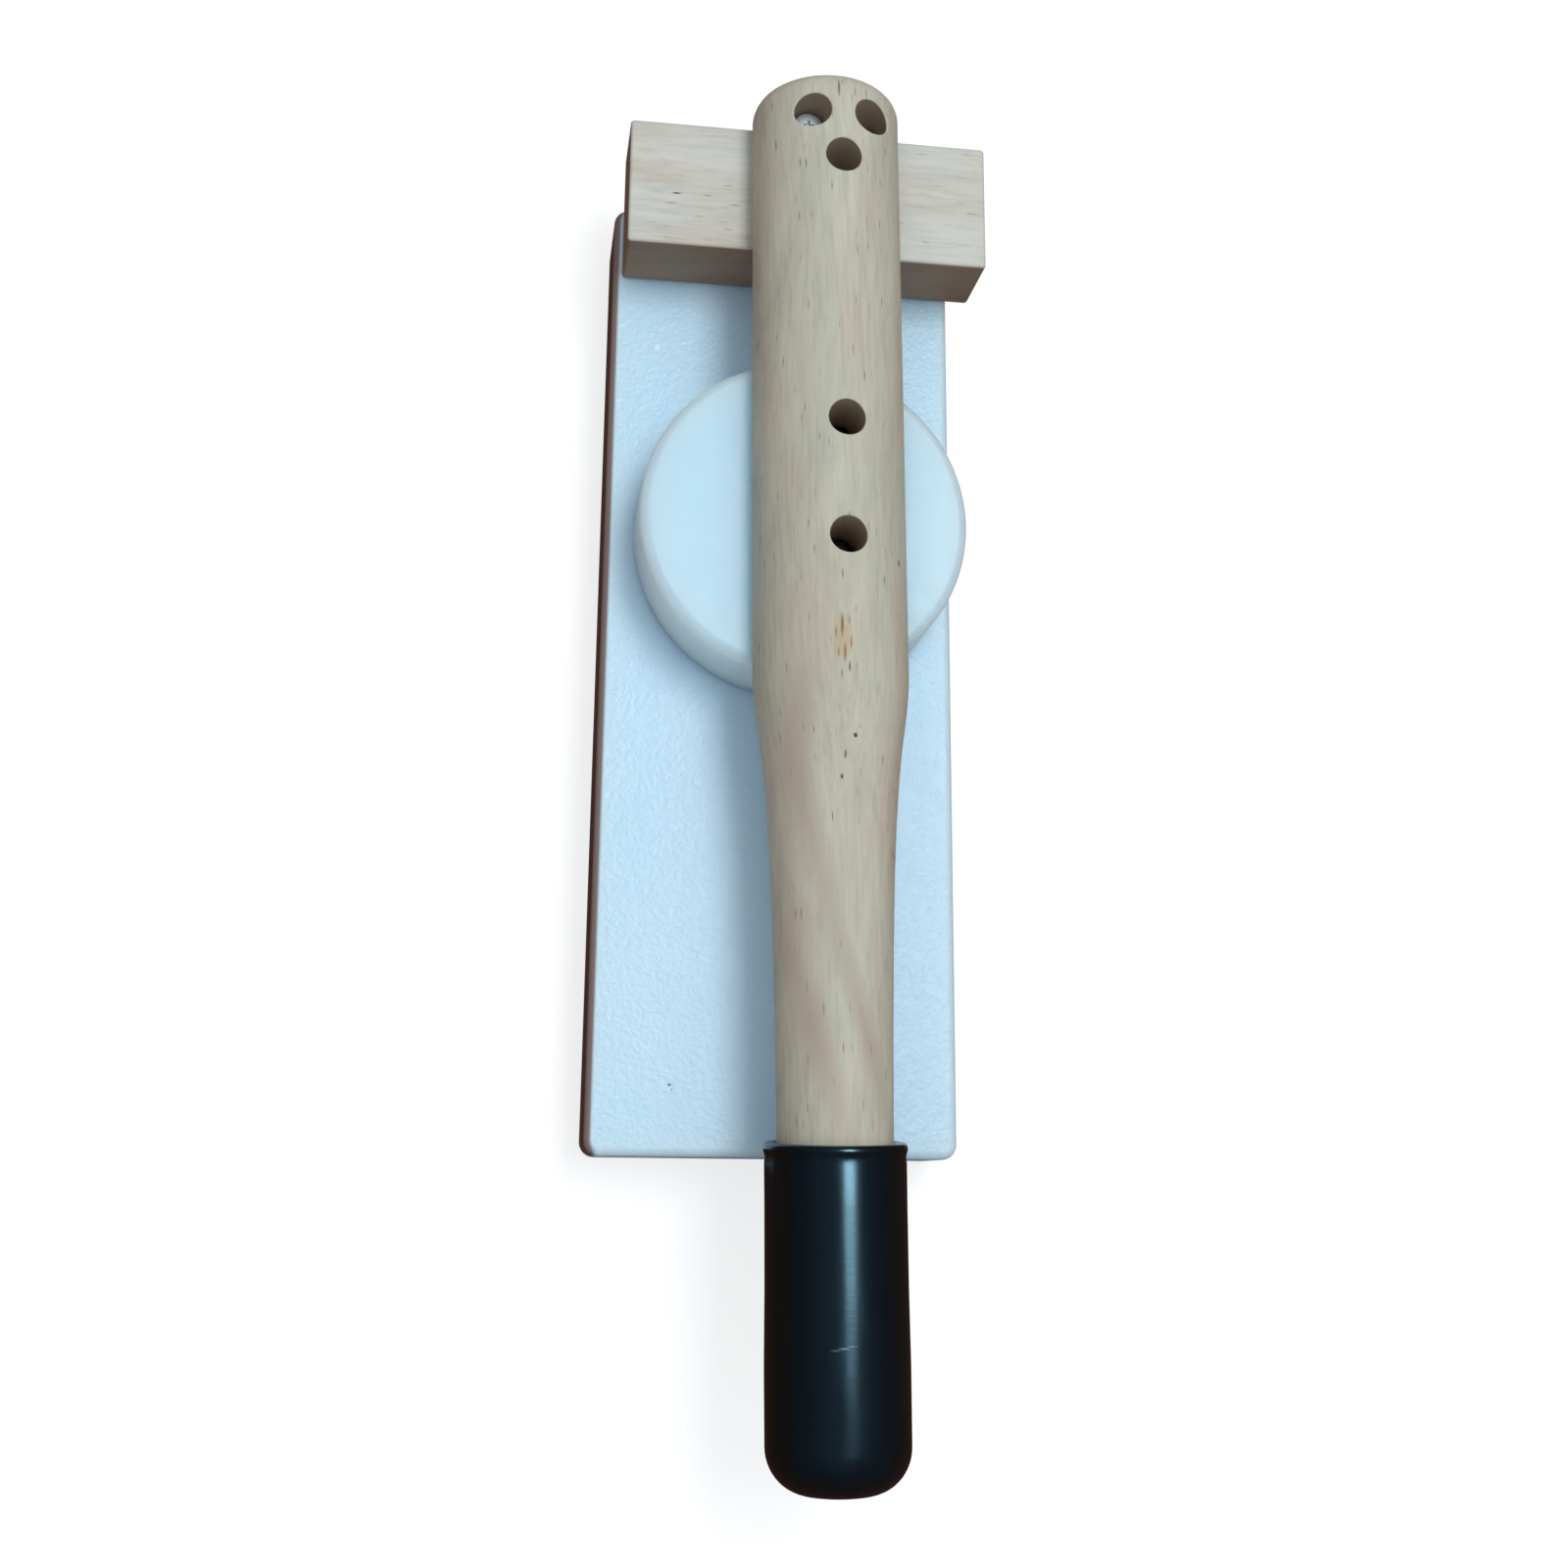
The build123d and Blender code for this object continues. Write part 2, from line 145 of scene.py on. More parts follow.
# a reach in mm so long that a spot is a straight tube
ENDLESS = 4000.0
UNSHADED = (1.0, 1.0, 1.0, 1.0)
SCRATCH_HEIGHT = 82.6


def timber(name, colours, grain_turn, band_turn, marks=(), bores=(), sides=UNSHADED):
    """Bare pale hardwood, sanded: cloudy warm and cool bands, short streaks along the grain, and
    fine dark pore dashes that end as dots on the end grain. Grain runs along Y before grain_turn.
    sides multiplies the red, green and blue of the upright faces, as painted shade."""
    pale, cool, warm, pore = (linear(c) for c in colours)
    material, tree, millimetres = new_material(name)
    grain = put(tree, "ShaderNodeMapping", {"Vector": millimetres, "Rotation": grain_turn})
    # slow bend of the grain, 60 mm across and 200 mm along
    drift_place = put(tree, "ShaderNodeMapping", {"Vector": grain, "Scale": (0.017, 0.005, 0.017)})
    drift = put(tree, "ShaderNodeTexNoise", {
        "Vector": drift_place, "Scale": 1.0, "Detail": 2.0, "Roughness": 0.45}, out="Color")
    bend = put(tree, "ShaderNodeVectorMath", {0: drift, 1: (16.0, 0.0, 16.0)}, operation="MULTIPLY")
    bent = put(tree, "ShaderNodeVectorMath", {0: grain, 1: bend}, operation="ADD")
    # growth bands that the turned surface cuts at a slant, 9 mm across and 90 mm long
    slanted = put(tree, "ShaderNodeMapping", {"Vector": bent, "Rotation": band_turn})
    band_place = put(tree, "ShaderNodeMapping", {"Vector": slanted, "Scale": (0.11, 0.011, 0.06)})
    bands = put(tree, "ShaderNodeTexNoise", {
        "Vector": band_place, "Scale": 1.0, "Detail": 2.5, "Roughness": 0.5, "Distortion": 0.4})
    band_fac = put(tree, "ShaderNodeValToRGB", {"Fac": bands}, stops=[
        (0.36, grey(0.0)), (0.50, grey(0.42)), (0.60, grey(0.55)), (0.70, grey(1.0))])
    base = put(tree, "ShaderNodeMix", {0: band_fac, 6: pale, 7: cool}, out=2, data_type="RGBA")
    # pinkish warm clouds, 14 mm across and 60 mm long
    warm_place = put(tree, "ShaderNodeMapping", {
        "Vector": bent, "Scale": (0.07, 0.016, 0.07), "Location": (3.1, 7.7, 1.9)})
    warmth = put(tree, "ShaderNodeTexNoise", {
        "Vector": warm_place, "Scale": 1.0, "Detail": 3.0, "Roughness": 0.55})
    warm_fac = put(tree, "ShaderNodeValToRGB", {"Fac": warmth}, stops=[
        (0.46, grey(0.0)), (0.68, grey(0.75))])
    base = put(tree, "ShaderNodeMix", {0: warm_fac, 6: base, 7: warm}, out=2, data_type="RGBA")
    # streaks 1.3 mm wide and 16 mm long
    streak_place = put(tree, "ShaderNodeMapping", {"Vector": bent, "Scale": (0.78, 0.062, 0.78)})
    streaks = put(tree, "ShaderNodeTexNoise", {
        "Vector": streak_place, "Scale": 1.0, "Detail": 4.0, "Roughness": 0.62})
    streak_tone = put(tree, "ShaderNodeValToRGB", {"Fac": streaks}, stops=[
        (0.28, (0.85, 0.84, 0.83, 1.0)), (0.50, grey(0.985)), (0.72, grey(1.06))])
    base = put(tree, "ShaderNodeMix", {0: 1.0, 6: base, 7: streak_tone}, out=2,
               data_type="RGBA", blend_type="MULTIPLY")
    # pores 0.35 mm wide and 4 mm long, in some of the cells of 1.3 by 9 mm, and more of them
    # where the bands are dark; real ones are half as wide and wouldn't show
    cell_place = put(tree, "ShaderNodeMapping", {"Vector": bent, "Scale": (0.77, 0.115, 0.77)})
    near = put(tree, "ShaderNodeTexVoronoi", {"Vector": cell_place, "Scale": 1.0}, out="Distance")
    cell = put(tree, "ShaderNodeTexVoronoi", {"Vector": cell_place, "Scale": 1.0}, out="Color")
    near_fac = put(tree, "ShaderNodeMapRange", {0: near, 1: 0.10, 2: 0.26, 3: 1.0, 4: 0.0})
    chance = put(tree, "ShaderNodeSeparateColor", {0: cell}, out=0)
    depth = put(tree, "ShaderNodeSeparateColor", {0: cell}, out=1)
    lean = put(tree, "ShaderNodeMath", {0: bands, 1: 0.9, 2: chance}, operation="MULTIPLY_ADD")
    kept = put(tree, "ShaderNodeMapRange", {0: lean, 1: 0.90, 2: 1.25, 3: 0.0, 4: 0.75})
    dash = put(tree, "ShaderNodeMath", {0: near_fac, 1: kept}, operation="MULTIPLY")
    dash_fac = put(tree, "ShaderNodeMath", {0: dash, 1: depth}, operation="MULTIPLY")
    base = put(tree, "ShaderNodeMix", {0: dash_fac, 6: base, 7: pore}, out=2, data_type="RGBA")
    for centre, reach, colour, strength, *turn in marks:
        inside = spot(tree, millimetres, centre, reach, 0.1 if turn else 0.4, *turn)
        # a mark's edge is frayed along the grain
        frayed = put(tree, "ShaderNodeMath", {0: streaks, 1: 2.0 * strength}, operation="MULTIPLY")
        fac = put(tree, "ShaderNodeMath", {0: inside, 1: frayed}, operation="MULTIPLY",
                  use_clamp=True)
        base = put(tree, "ShaderNodeMix", {0: fac, 6: base, 7: linear(colour)}, out=2,
                   data_type="RGBA")
    # drilled bores are drawn darker than the sanded surface: partly the rough cut wood inside,
    # partly painted shade in the hole
    for centre in bores:
        inside = spot(tree, millimetres, (centre[0], centre[1], BORE_MIDDLE),
                      (COUNTERBORE_RADIUS + BORE_MARGIN, COUNTERBORE_RADIUS + BORE_MARGIN,
                       ENDLESS), 0.985)
        base = put(tree, "ShaderNodeMix", {0: inside, 6: base, 7: linear("#A3917C")}, out=2,
                   data_type="RGBA")
    # sides darkens the upright faces towards the tones of the photo. It is shade that is painted
    # on, not a property of the wood.
    normal = put(tree, "ShaderNodeNewGeometry", out="Normal")
    upright = put(tree, "ShaderNodeSeparateXYZ", {0: normal}, out="Z")
    steep = put(tree, "ShaderNodeMapRange", {0: upright, 1: 0.3, 2: 0.7, 3: 1.0, 4: 0.0})
    painted_side_shade = put(tree, "ShaderNodeMix", {0: steep, 6: grey(1.0), 7: sides}, out=2,
                    data_type="RGBA")
    base = put(tree, "ShaderNodeMix", {0: 1.0, 6: base, 7: painted_side_shade}, out=2,
               data_type="RGBA", blend_type="MULTIPLY")
    fibre_height = put(tree, "ShaderNodeMath", {0: streaks, 1: 0.5}, operation="MULTIPLY")
    relief = put(tree, "ShaderNodeMath", {0: fibre_height, 1: dash}, operation="SUBTRACT")
    bump = put(tree, "ShaderNodeBump", {"Strength": 0.4, "Distance": 0.00012, "Height": relief})
    rough = put(tree, "ShaderNodeMapRange", {0: streaks, 1: 0.25, 2: 0.75, 3: 0.52, 4: 0.66})
    shader = put(tree, "ShaderNodeBsdfPrincipled", {
        "Base Color": base, "Roughness": rough, "Normal": bump, "IOR": 1.5,
        "Specular IOR Level": 0.3})
    put(tree, "ShaderNodeOutputMaterial", {"Surface": shader})
    return material


def polyethylene(name, pale, shade, painted_side_shading, depth_mm, relief, marks=()):
    """White polyethylene: waxy and slightly see-through, cool in tone, so that its edges glow and
    shadows on it are soft. relief(tree, millimetres) gives the surface height, its depth in mm, a
    factor for the roughness, the share of light that scatters inside, and how far
    painted_side_shading shows: a colour that paints shade on the board's left side and light on the
    disc's rim."""
    material, tree, millimetres = new_material(name)
    # faint clouds 50 mm across
    cloud = put(tree, "ShaderNodeTexNoise", {
        "Vector": millimetres, "Scale": 0.02, "Detail": 3.0, "Roughness": 0.5})
    tone = put(tree, "ShaderNodeMix", {0: cloud, 6: linear(pale), 7: linear(shade)}, out=2,
               data_type="RGBA")
    for centre, reach, colour, strength in marks:
        inside = spot(tree, millimetres, centre, reach)
        fac = put(tree, "ShaderNodeMath", {0: inside, 1: strength}, operation="MULTIPLY")
        tone = put(tree, "ShaderNodeMix", {0: fac, 6: tone, 7: linear(colour)}, out=2,
                   data_type="RGBA")
    # rubbed patches 3 mm across
    wear = put(tree, "ShaderNodeTexNoise", {
        "Vector": millimetres, "Scale": 0.35, "Detail": 4.0, "Roughness": 0.6})
    rough = put(tree, "ShaderNodeMapRange", {0: wear, 1: 0.3, 2: 0.7, 3: 0.30, 4: 0.42})
    height, bump_depth, gloss, glow, painted_side_mask = relief(tree, millimetres)
    tone = put(tree, "ShaderNodeMix", {0: painted_side_mask, 6: tone, 7: linear(painted_side_shading)}, out=2,
               data_type="RGBA")
    rough = put(tree, "ShaderNodeMath", {0: rough, 1: gloss}, operation="MULTIPLY")
    bump = put(tree, "ShaderNodeBump", {
        "Strength": 1.0, "Distance": bump_depth * MM, "Height": height})
    shader = put(tree, "ShaderNodeBsdfPrincipled", {
        "Base Color": tone, "Roughness": rough, "Normal": bump, "IOR": 1.53,
        "Specular IOR Level": 0.4, "Subsurface Weight": glow, "Subsurface Radius": (1.0, 1.0, 1.0),
        "Subsurface Scale": depth_mm * MM})
    put(tree, "ShaderNodeOutputMaterial", {"Surface": shader})
    return material


def pebbled_sheet(tree, millimetres):
    """The rollers leave pebbles about 1.4 mm across on the faces. The sides are planed, with faint
    lines. The left side is drawn glossier, and brown as painted shade and a painted reflection of a
    brown table."""
    pebbles = put(tree, "ShaderNodeTexNoise", {
        "Vector": millimetres, "Scale": 0.72, "Detail": 1.0, "Roughness": 0.4})
    sides = put(tree, "ShaderNodeMapping", {"Vector": millimetres, "Scale": (0.03, 0.03, 1.1)})
    lines = put(tree, "ShaderNodeTexNoise", {"Vector": sides, "Scale": 1.0, "Detail": 3.0})
    normal = put(tree, "ShaderNodeNewGeometry", out="Normal")
    upright = put(tree, "ShaderNodeSeparateXYZ", {0: normal}, out="Z")
    flat = put(tree, "ShaderNodeMath", {0: upright}, operation="ABSOLUTE")
    faces = put(tree, "ShaderNodeMapRange", {0: flat, 1: 0.80, 2: 0.98, 3: 0.0, 4: 1.0})
    faint = put(tree, "ShaderNodeMath", {0: lines, 1: 0.03}, operation="MULTIPLY")
    sideways = put(tree, "ShaderNodeSeparateXYZ", {0: normal}, out="X")
    gloss = put(tree, "ShaderNodeMapRange", {0: sideways, 1: -0.9, 2: -0.5, 3: 0.3, 4: 1.0})
    # The left side and its rounded edge are painted brown and get no inner scatter: painted shade
    # and a painted reflection of a brown table, where the plastic itself is pale. Here that is a
    # painted stain with no inner scatter; in the photo it may be the table, mirrored or left by
    # the cut-out.
    glow = put(tree, "ShaderNodeMapRange", {0: sideways, 1: -0.45, 2: -0.12, 3: 0.0, 4: 0.85})
    painted_left_shade = put(tree, "ShaderNodeMapRange", {0: sideways, 1: -0.40, 2: -0.10, 3: 1.0, 4: 0.0})
    return put(tree, "ShaderNodeMix", {0: faces, 2: faint, 3: pebbles}), 0.26, gloss, glow, painted_left_shade


def lathe_marks(tree, millimetres):
    """The lathe's feed leaves rings 0.6 mm apart round the disc's centre."""
    centred = put(tree, "ShaderNodeVectorMath", {0: millimetres, 1: (*DISC_CENTRE, 0.0)},
                  operation="SUBTRACT")
    flattened = put(tree, "ShaderNodeMapping", {"Vector": centred, "Scale": (1.0, 1.0, 0.4)})
    rings = put(tree, "ShaderNodeTexWave", {
        "Vector": flattened, "Scale": 0.314 / 0.6, "Distortion": 1.2, "Detail": 2.0,
    }, out="Fac", wave_type="RINGS", rings_direction="Z")
    # the rim is drawn paler than the faces: painted light, standing in for light that the disc
    # scatters out of its side, because without it the rim renders too dark
    normal = put(tree, "ShaderNodeNewGeometry", out="Normal")
    upright = put(tree, "ShaderNodeSeparateXYZ", {0: normal}, out="Z")
    flat = put(tree, "ShaderNodeMath", {0: upright}, operation="ABSOLUTE")
    rim = put(tree, "ShaderNodeMapRange", {0: flat, 1: 0.4, 2: 0.95, 3: 1.0, 4: 0.0})
    return rings, 0.006, 1.0, 0.85, rim


def vinyl():
    """Black plasticised vinyl, dip-moulded: deep black and satin, with faint ripples round it, a
    wiped sheen and one pale scratch across its top. Its gloss is stronger than vinyl's and tinted
    blue, so that the window's reflection is as bright as in the photo."""
    material, tree, millimetres = new_material("dip_moulded_black_vinyl")
    # ripples round the sleeve, 1 mm apart
    ripple_place = put(tree, "ShaderNodeMapping", {
        "Vector": millimetres, "Scale": (0.12, 0.9, 0.12)})
    peel = put(tree, "ShaderNodeTexNoise", {
        "Vector": ripple_place, "Scale": 1.0, "Detail": 3.0, "Roughness": 0.55})
    wipe_place = put(tree, "ShaderNodeMapping", {"Vector": millimetres, "Scale": (0.3, 0.05, 0.3)})
    wiped = put(tree, "ShaderNodeTexNoise", {"Vector": wipe_place, "Scale": 1.0, "Detail": 4.0})
    rough = put(tree, "ShaderNodeMapRange", {0: wiped, 1: 0.3, 2: 0.75, 3: 0.19, 4: 0.26})
    tone = put(tree, "ShaderNodeMix", {0: wiped, 6: linear("#090A0D"), 7: linear("#0D0F13")}, out=2,
               data_type="RGBA")
    # the scratch slants, so it is drawn as a row of short dashes
    for side, forward, shine in ((9.4, -198.9, 0.25), (11.6, -198.4, 0.6), (13.6, -197.9, 0.35)):
        scratch = spot(tree, millimetres, (side, forward, SCRATCH_HEIGHT), (1.9, 0.32, 3.0), 0.1)
        fac = put(tree, "ShaderNodeMath", {0: scratch, 1: shine}, operation="MULTIPLY")
        tone = put(tree, "ShaderNodeMix", {0: fac, 6: tone, 7: linear("#9FB0BC")}, out=2,
                   data_type="RGBA")
    bump = put(tree, "ShaderNodeBump", {"Strength": 0.3, "Distance": 0.00004, "Height": peel})
    shader = put(tree, "ShaderNodeBsdfPrincipled", {
        "Base Color": tone, "Roughness": rough, "Normal": bump, "IOR": 1.57,
        "Specular IOR Level": 1.0, "Specular Tint": (0.45, 0.82, 1.0, 1.0)})
    put(tree, "ShaderNodeOutputMaterial", {"Surface": shader})
    return material


def steel(name, pale, shade, gloss, grain_scale, metallic=1.0):
    """Steel with a thin finish: tone and gloss wander in patches, drawn out along the rolling.
    metallic is below 1 on the zinc finishes only to keep them pale in the dim mirrored room."""
    material, tree, millimetres = new_material(name)
    stretched = put(tree, "ShaderNodeMapping", {"Vector": millimetres, "Scale": grain_scale})
    cloud = put(tree, "ShaderNodeTexNoise", {
        "Vector": stretched, "Scale": 1.0, "Detail": 4.0, "Roughness": 0.6})
    tone = put(tree, "ShaderNodeMix", {0: cloud, 6: linear(pale), 7: linear(shade)}, out=2,
               data_type="RGBA")
    rough = put(tree, "ShaderNodeMapRange", {0: cloud, 1: 0.3, 2: 0.7, 3: gloss, 4: gloss + 0.13})
    bump = put(tree, "ShaderNodeBump", {"Strength": 0.2, "Distance": 0.00005, "Height": cloud})
    shader = put(tree, "ShaderNodeBsdfPrincipled", {
        "Base Color": tone, "Roughness": rough, "Normal": bump, "Metallic": metallic})
    put(tree, "ShaderNodeOutputMaterial", {"Surface": shader})
    return material


bolt_spots = [
    (FRONT_BOLT, HOLE_LINE_SHIFT, BOLT_SEAT),
    (REAR_BOLT, HOLE_LINE_SHIFT + REAR_BOLT_SHIFT, BOLT_SEAT),
    (REAR_BOLT, HOLE_LINE_SHIFT - REAR_BOLT_SHIFT, BOLT_SEAT + LEFT_BOLT_LIFT),
]
disc_screw_spots = [(forward, HOLE_LINE_SHIFT, BOLT_SEAT) for forward in DISC_SCREWS]

# centre in mm, reach in mm, colour and strength, and a turn for bands that run at a slant
handle_marks = [
    ((10.4, -8.0, 85.9), (3.4, 8.0, 6.0), "#B79673", 0.55),
    ((10.2, -4.5, 85.9), (0.5, 4.2, 4.0), "#7A6048", 0.9),
    ((11.0, -12.5, 85.8), (0.6, 3.4, 4.0), "#97703F", 0.9),
    ((12.4, -16.5, 85.5), (0.45, 2.0, 4.0), "#7C6248", 0.8),
    ((14.5, -35.7, 83.3), (0.75, 0.9, 4.0), "#4D4036", 1.0),
    ((11.7, -41.1, 82.9), (0.5, 1.6, 4.0), "#6B5648", 1.0),
    ((10.8, -47.4, 82.3), (0.55, 1.0, 4.0), "#4D4036", 1.0),
    ((28.4, 17.5, 77.2), (0.6, 1.4, 4.0), "#7F7468", 1.0),
    ((-1.5, -34.0, 79.0), (5.0, 24.0, 12.0), "#B9A095", 0.42),
    ((0.5, -92.0, 77.0), (8.0, 14.0, 12.0), "#B3A096", 0.32),
    ((4.0, -116.0, 77.0), (6.0, 16.0, 12.0), "#B0A08F", 0.35),
    ((9.0, 166.0, 84.0), (0.5, 4.0, 8.0), "#6F6455", 0.9),
    ((4.0, -68.0, 81.0), (5.0, 46.0, 20.0), "#A59384", 0.55, -13.0),
    ((18.5, -118.0, 80.0), (4.2, 40.0, 20.0), "#A28F7F", 0.58, -16.0),
    ((4.5, -118.0, 80.0), (5.5, 40.0, 20.0), "#A69283", 0.60, -17.0),
    ((-1.0, -30.0, 80.0), (4.5, 40.0, 20.0), "#AA998C", 0.35, -6.0),
    ((8.4, -6.5, 85.9), (0.4, 2.2, 4.0), "#8A6B4C", 0.8),
    ((9.2, -12.5, 85.9), (0.4, 1.8, 4.0), "#94714B", 0.8),
    ((12.3, -3.0, 85.7), (0.35, 2.0, 4.0), "#8A6B4C", 0.7),
    ((12.8, -9.5, 85.6), (0.4, 2.4, 4.0), "#A0784A", 0.8),
    ((10.2, -18.5, 85.7), (0.4, 1.6, 4.0), "#7E644A", 0.7),
]
handle_bores = [on_handle(*spot_mm) for spot_mm in bolt_spots + disc_screw_spots]
handle_wood = timber(
    "turned_bare_hardwood", ("#BFBBA9", "#AFAD9D", "#B9AA9A", "#5F5244"),
    (math.radians(1.5), 0.0, math.radians(-2.5)), (0.0, 0.0, math.radians(14.0)),
    handle_marks, handle_bores)
# The block's upright faces get painted shade through sides: their red, green and blue are
# multiplied by 0.57, 0.41 and 0.32.
block_wood = timber(
    "sawn_bare_hardwood", ("#C8C8C0", "#BCBBB2", "#BFB2A5", "#85786A"),
    (0.0, math.radians(1.0), math.radians(90.0)), (0.0, 0.0, math.radians(2.0)),
    [((-37.4, 142.3, 56.5), (1.8, 0.4, 2.0), "#5E5348", 1.0)], sides=(0.57, 0.41, 0.32, 1.0))
# The board's brown #85736E is painted shade and a painted reflection on its left side.
board_plastic = polyethylene(
    "pebbled_polyethylene_sheet", "#C6DFEE", "#BCD9EA", "#85736E", 12.0, pebbled_sheet, [
        ((-30.7, -129.7, 30.0), (0.7, 0.6, 2.0), "#4F565C", 0.85),
        ((-30.0, -131.0, 30.0), (0.4, 0.4, 2.0), "#6A7278", 0.8),
        ((-40.0, 101.7, 30.0), (1.1, 1.6, 2.0), "#E4F1F7", 0.6),
    ])
# The disc's pale #D0ECFB on its rim is painted light.
disc_plastic = polyethylene(
    "turned_polyethylene", "#BCDDF2", "#B4D7ED", "#D0ECFB", 40.0, lathe_marks)
grip_vinyl = vinyl()
zinc = steel("bright_zinc_plated_steel", "#DCE7EE", "#C6D0D7", 0.32, (0.8, 0.8, 0.8), 0.6)
black_steel = steel("black_phosphated_steel", "#35312E", "#25221F", 0.5, (1.2, 1.2, 1.2))
leaf_steel = steel("zinc_plated_rolled_strip", "#C2C8CC", "#A4ABB0", 0.36, (0.15, 3.0, 3.0), 0.7)

for node_name, material in {
    "base_board": board_plastic,
    "hinge_block": block_wood,
    "handle": handle_wood,
    "press_disc": disc_plastic,
    "lower_hinge_leaf": leaf_steel,
    "upper_hinge_leaf": leaf_steel,
    "hinge_pin": zinc,
    "bolt_head_washers": zinc,
    "nut_washers": zinc,
    "disc_screw_washers": black_steel,
}.items():
    mesh = nodes[node_name].data
    mesh.materials.clear()
    mesh.materials.append(material)


# ---------- grip sleeve ----------


def smooth_by_angle(mesh, degrees):
    mesh.polygons.foreach_set("use_smooth", [True] * len(mesh.polygons))
    mesh.set_sharp_from_angle(angle=math.radians(degrees))


def arc(centre_along, centre_out, radius, start, stop, steps):
    """Points (distance along the handle, distance out) on an arc. Angles are in degrees from
    forward."""
    angles = [math.radians(start + (stop - start) * i / steps) for i in range(steps + 1)]
    return [(centre_along + radius * math.cos(a), centre_out + radius * math.sin(a))
            for a in angles]


END_ROUND = 12.0
WOOD_END_ROUND = 8.0
SLEEVE_WALL_END = 3.0
LIP_ROLL = 1.35
WAVE = 0.12
WAVE_STEP = 20.0
inner_end = SLEEVE_END - SLEEVE_WALL_END
# outside from the closed end to the rolled lip, then back down the bore
profile = [(SLEEVE_END + 0.35, 0.0), (SLEEVE_END + 0.3, 3.5)]
profile += arc(SLEEVE_END - END_ROUND, SLEEVE_RADIUS - END_ROUND, END_ROUND, 0, 90, 14)
profile += [(SLEEVE_END - END_ROUND - WAVE_STEP * i, SLEEVE_RADIUS + WAVE * math.sin(i * 1.9))
            for i in (1, 2, 3)]
# a shallow groove in front of the lip
profile += [(SLEEVE_START + 5.0, SLEEVE_RADIUS), (SLEEVE_START + 3.4, SLEEVE_RADIUS - 0.12),
            (SLEEVE_START + 2.8, SLEEVE_RADIUS)]
profile += arc(SLEEVE_START + LIP_ROLL, SLEEVE_RADIUS - LIP_ROLL + 0.45, LIP_ROLL, 60, 180, 9)
profile += [(SLEEVE_START + 0.15, SLEEVE_BORE + 0.9), (SLEEVE_START + 0.9, SLEEVE_BORE + 0.05),
            (inner_end - WOOD_END_ROUND, SLEEVE_BORE + 0.02)]
profile += arc(inner_end - WOOD_END_ROUND, SLEEVE_BORE + 0.02 - WOOD_END_ROUND,
               WOOD_END_ROUND, 90, 0, 6)[1:]
profile += [(inner_end, 0.0)]

# The rim sits a little askew on the wood: further back at the sides than on top.
SKEW = 1.4
SKEW_BACK = -2.3
SKEW_FADE = 30.0
SEGMENTS = 96
builder = bmesh.new()
rings = []
for along, out in profile:
    ring = []
    for step in range(SEGMENTS if out > 0 else 1):
        angle = 2 * math.pi * step / SEGMENTS
        fade = max(0.0, 1.0 - (along - SLEEVE_START) / SKEW_FADE)
        shifted = along + fade * fade * (SKEW_BACK + SKEW * math.cos(angle))
        centre = on_handle(shifted, out * math.sin(angle),
                           HANDLE_AXIS_HEIGHT + out * math.cos(angle))
        ring.append(builder.verts.new(centre * MM))
    rings.append(ring)
for first, second in zip(rings, rings[1:]):
    for step in range(SEGMENTS):
        ahead = (step + 1) % SEGMENTS
        corners = [first[step % len(first)], second[step % len(second)],
                   second[ahead % len(second)], first[ahead % len(first)]]
        builder.faces.new(list(dict.fromkeys(corners)))
bmesh.ops.recalc_face_normals(builder, faces=builder.faces)
grip_mesh = bpy.data.meshes.new("dipped_grip_sleeve")
builder.to_mesh(grip_mesh)
builder.free()
smooth_by_angle(grip_mesh, 50)
grip_mesh.materials.append(grip_vinyl)
grip = bpy.data.objects.new("dipped_grip_sleeve", grip_mesh)
bpy.context.scene.collection.objects.link(grip)
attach(grip, "lever")
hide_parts("handle_grip")


# ---------- screws, bolts and nuts, by Geometry Nodes ----------


def new_tree(name, sizes):
    """A Geometry Nodes tree with a points input, named sizes in metres and a material."""
    tree = bpy.data.node_groups.new(name, "GeometryNodeTree")
    tree.interface.new_socket("Places", in_out="INPUT", socket_type="NodeSocketGeometry")
    for size in sizes:
        tree.interface.new_socket(size, in_out="INPUT", socket_type="NodeSocketFloat")
    tree.interface.new_socket("Outward", in_out="INPUT", socket_type="NodeSocketVector")
    tree.interface.new_socket("Finish", in_out="INPUT", socket_type="NodeSocketMaterial")
    tree.interface.new_socket("Geometry", in_out="OUTPUT", socket_type="NodeSocketGeometry")
    inlet = tree.nodes.new("NodeGroupInput")
    return tree, inlet.outputs


def close_tree(tree, given, one_piece):
    """Stands one piece on each place, outward along the given direction, as real mesh."""
    rotation = put(tree, "FunctionNodeAlignRotationToVector", {"Vector": given["Outward"]},
                   axis="Z")
    placed = put(tree, "GeometryNodeInstanceOnPoints", {
        "Points": given["Places"], "Instance": one_piece, "Rotation": rotation})
    real = put(tree, "GeometryNodeRealizeInstances", {"Geometry": placed})
    finished = put(tree, "GeometryNodeSetMaterial", {"Geometry": real, "Material": given["Finish"]})
    put(tree, "NodeGroupOutput", {"Geometry": finished})


COLUMNS = 25
HEAD_ROWS = 12


